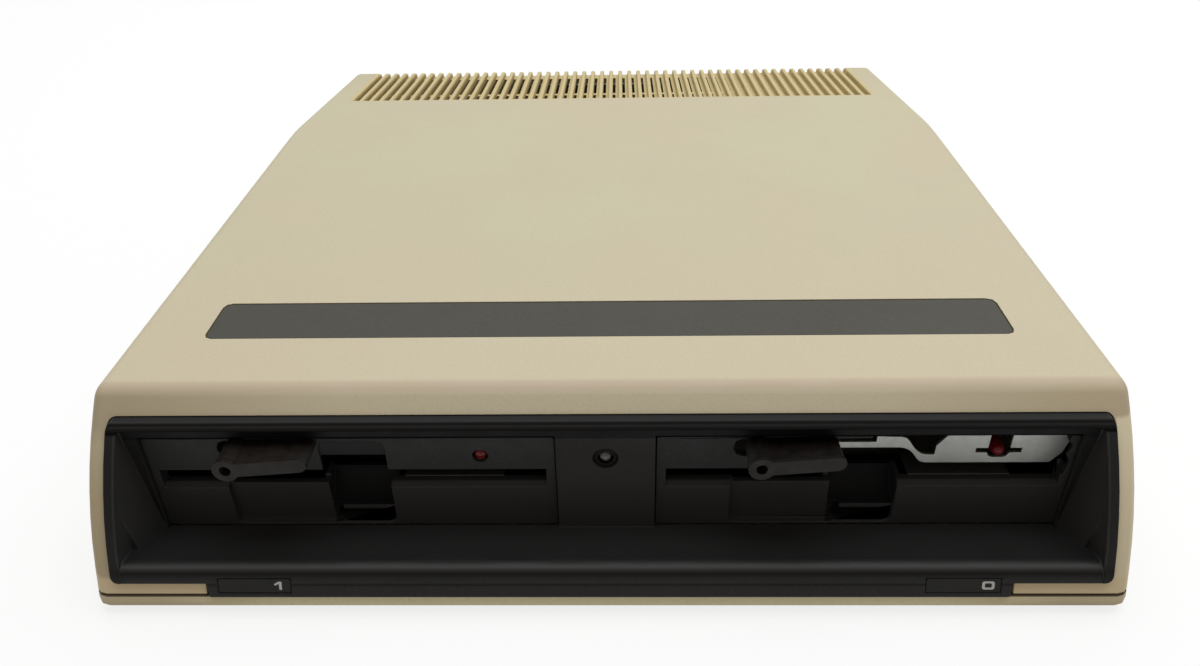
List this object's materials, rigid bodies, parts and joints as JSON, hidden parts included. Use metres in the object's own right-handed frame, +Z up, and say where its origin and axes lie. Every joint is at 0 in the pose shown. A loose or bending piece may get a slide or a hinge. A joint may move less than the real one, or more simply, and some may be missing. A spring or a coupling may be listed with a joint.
{
  "type": "floppy disk drive unit",
  "caption": "External dual floppy disk drive: a low beige desktop case with a ribbed rear vent and half-height drives side by side behind a black bezel, with turn levers.",
  "frame": {"origin": "middle of the footprint, on the desk under the rubber feet", "axes": "+X to the right as seen from the front, +Y to the back, +Z up"},
  "size_m": [0.3562, 0.427, 0.0687],
  "materials": {
    "case_plastic": "fine textured beige, slightly aged",
    "bezel_plastic": "fine textured black",
    "fascia_plastic": "fine textured black",
    "strip_plastic": "smooth dark olive grey",
    "lever_plastic": "dark grey, dusty on top",
    "inner_plastic": "plain moulded",
    "red_lens": "clear red",
    "grey_lens": "cloudy grey",
    "rubber": "plain",
    "steel": "turned and stamped",
    "zinc_steel": "zinc plated sheet",
    "cast_alloy": "as cast and machined",
    "aluminium": "plain",
    "varnished_iron": "varnished",
    "circuit_board": "glass-fibre board with chips",
    "capacitor_sleeve": "shrunk sleeve"
  },
  "bodies": {
    "root": {"top_cover": "case_plastic", "base_tray": "case_plastic", "chassis_left": "cast_alloy", "chassis_right": "cast_alloy", "front_bezel": "bezel_plastic", "fascia_left": "fascia_plastic", "fascia_right": "fascia_plastic", "drive_cradle": "zinc_steel", "data_socket": "aluminium", "logic_board": "circuit_board", "mains_inlet": "inner_plastic", "rear_panel": "zinc_steel", "spindle_motor_left": "varnished_iron", "stepper_motor_left": "varnished_iron", "spindle_motor_right": "varnished_iron", "stepper_motor_right": "varnished_iron", "heat_sink": "aluminium", "front_bracket_left": "zinc_steel", "front_bracket_right": "zinc_steel", "power_led": "grey_lens", "fuse_holder": "inner_plastic", "drive_board_left": "circuit_board", "drive_board_right": "circuit_board", "foot_front_left": "rubber", "foot_front_right": "rubber", "foot_rear_left": "rubber", "foot_rear_right": "rubber", "activity_led_left": "red_lens", "activity_led_right": "red_lens", "filter_capacitor": "capacitor_sleeve", "case_screw_1": "steel", "case_screw_2": "steel", "case_screw_3": "steel", "case_screw_4": "steel", "power_switch": "inner_plastic", "transformer": "varnished_iron", "power_board": "circuit_board", "nameplate": "strip_plastic", "guide_rod_left_a": "steel", "guide_rod_left_b": "steel", "guide_rod_right_a": "steel", "guide_rod_right_b": "steel"},
    "lever_left": {"lever_left": "lever_plastic", "lever_shaft_left": "steel"},
    "clamp_arm_left": {"clamp_arm_left": "steel"},
    "clamp_hub_left": {"clamp_hub_left": "inner_plastic"},
    "spindle_left": {"spindle_hub_left": "cast_alloy"},
    "carriage_left": {"head_carriage_left": "cast_alloy", "upper_head_arm_left": "inner_plastic"},
    "pulley_left": {"band_pulley_left": "cast_alloy"},
    "lever_right": {"lever_right": "lever_plastic", "lever_shaft_right": "steel"},
    "clamp_arm_right": {"clamp_arm_right": "steel"},
    "clamp_hub_right": {"clamp_hub_right": "inner_plastic"},
    "spindle_right": {"spindle_hub_right": "cast_alloy"},
    "carriage_right": {"head_carriage_right": "cast_alloy", "upper_head_arm_right": "inner_plastic"},
    "pulley_right": {"band_pulley_right": "cast_alloy"},
    "rocker": {"power_rocker": "lever_plastic"}
  },
  "joints": [
    {"name": "lever_left_turn", "type": "hinge", "parent": "root", "child": "lever_left", "pos_m": [-0.1281, -0.18149, 0.0489], "axis": [0, 1, 0], "range_deg": [0, 95.1]},
    {"name": "clamp_arm_left_lift", "type": "hinge", "parent": "root", "child": "clamp_arm_left", "pos_m": [-0.0902, 0.00451, 0.0382], "axis": [1, 0, 0], "range_deg": [0, 3.45]},
    {"name": "clamp_hub_left_spin", "type": "hinge", "parent": "clamp_arm_left", "child": "clamp_hub_left", "pos_m": [-0.0902, -0.11141, 0.04299], "axis": [0, 0.0602, 0.9982], "continuous": true},
    {"name": "spindle_left_spin", "type": "hinge", "parent": "root", "child": "spindle_left", "pos_m": [-0.0902, -0.11149, 0.03], "axis": [0, 0, 1], "continuous": true},
    {"name": "carriage_left_slide", "type": "slide", "parent": "root", "child": "carriage_left", "axis": [0, -1, 0], "range_m": [0, 0.0196]},
    {"name": "pulley_left_turn", "type": "hinge", "parent": "root", "child": "pulley_left", "pos_m": [-0.0392, -0.01849, 0.0205], "axis": [0, 0, 1], "range_deg": [0, 180.5]},
    {"name": "lever_right_turn", "type": "hinge", "parent": "root", "child": "lever_right", "pos_m": [0.0523, -0.18149, 0.0489], "axis": [0, 1, 0], "range_deg": [0, 95.1]},
    {"name": "clamp_arm_right_lift", "type": "hinge", "parent": "root", "child": "clamp_arm_right", "pos_m": [0.0902, 0.00451, 0.0382], "axis": [1, 0, 0], "range_deg": [0, 3.45]},
    {"name": "clamp_hub_right_spin", "type": "hinge", "parent": "clamp_arm_right", "child": "clamp_hub_right", "pos_m": [0.0902, -0.11141, 0.04299], "axis": [0, 0.0602, 0.9982], "continuous": true},
    {"name": "spindle_right_spin", "type": "hinge", "parent": "root", "child": "spindle_right", "pos_m": [0.0902, -0.11149, 0.03], "axis": [0, 0, 1], "continuous": true},
    {"name": "carriage_right_slide", "type": "slide", "parent": "root", "child": "carriage_right", "axis": [0, -1, 0], "range_m": [0, 0.0196]},
    {"name": "pulley_right_turn", "type": "hinge", "parent": "root", "child": "pulley_right", "pos_m": [0.1412, -0.01849, 0.0205], "axis": [0, 0, 1], "range_deg": [0, 180.5]},
    {"name": "rocker_turn", "type": "hinge", "parent": "root", "child": "rocker", "pos_m": [-0.142, 0.19751, 0.026], "axis": [1, 0, 0], "range_deg": [-18, 0]}
  ],
  "couplings": [
    {"joint": "clamp_arm_left_lift", "follows": "lever_left_turn", "ratio": 0.0362},
    {"joint": "pulley_left_turn", "follows": "carriage_left_slide", "rad_per_m": 160.28},
    {"joint": "clamp_arm_right_lift", "follows": "lever_right_turn", "ratio": 0.0362},
    {"joint": "pulley_right_turn", "follows": "carriage_right_slide", "rad_per_m": 160.28}
  ]
}
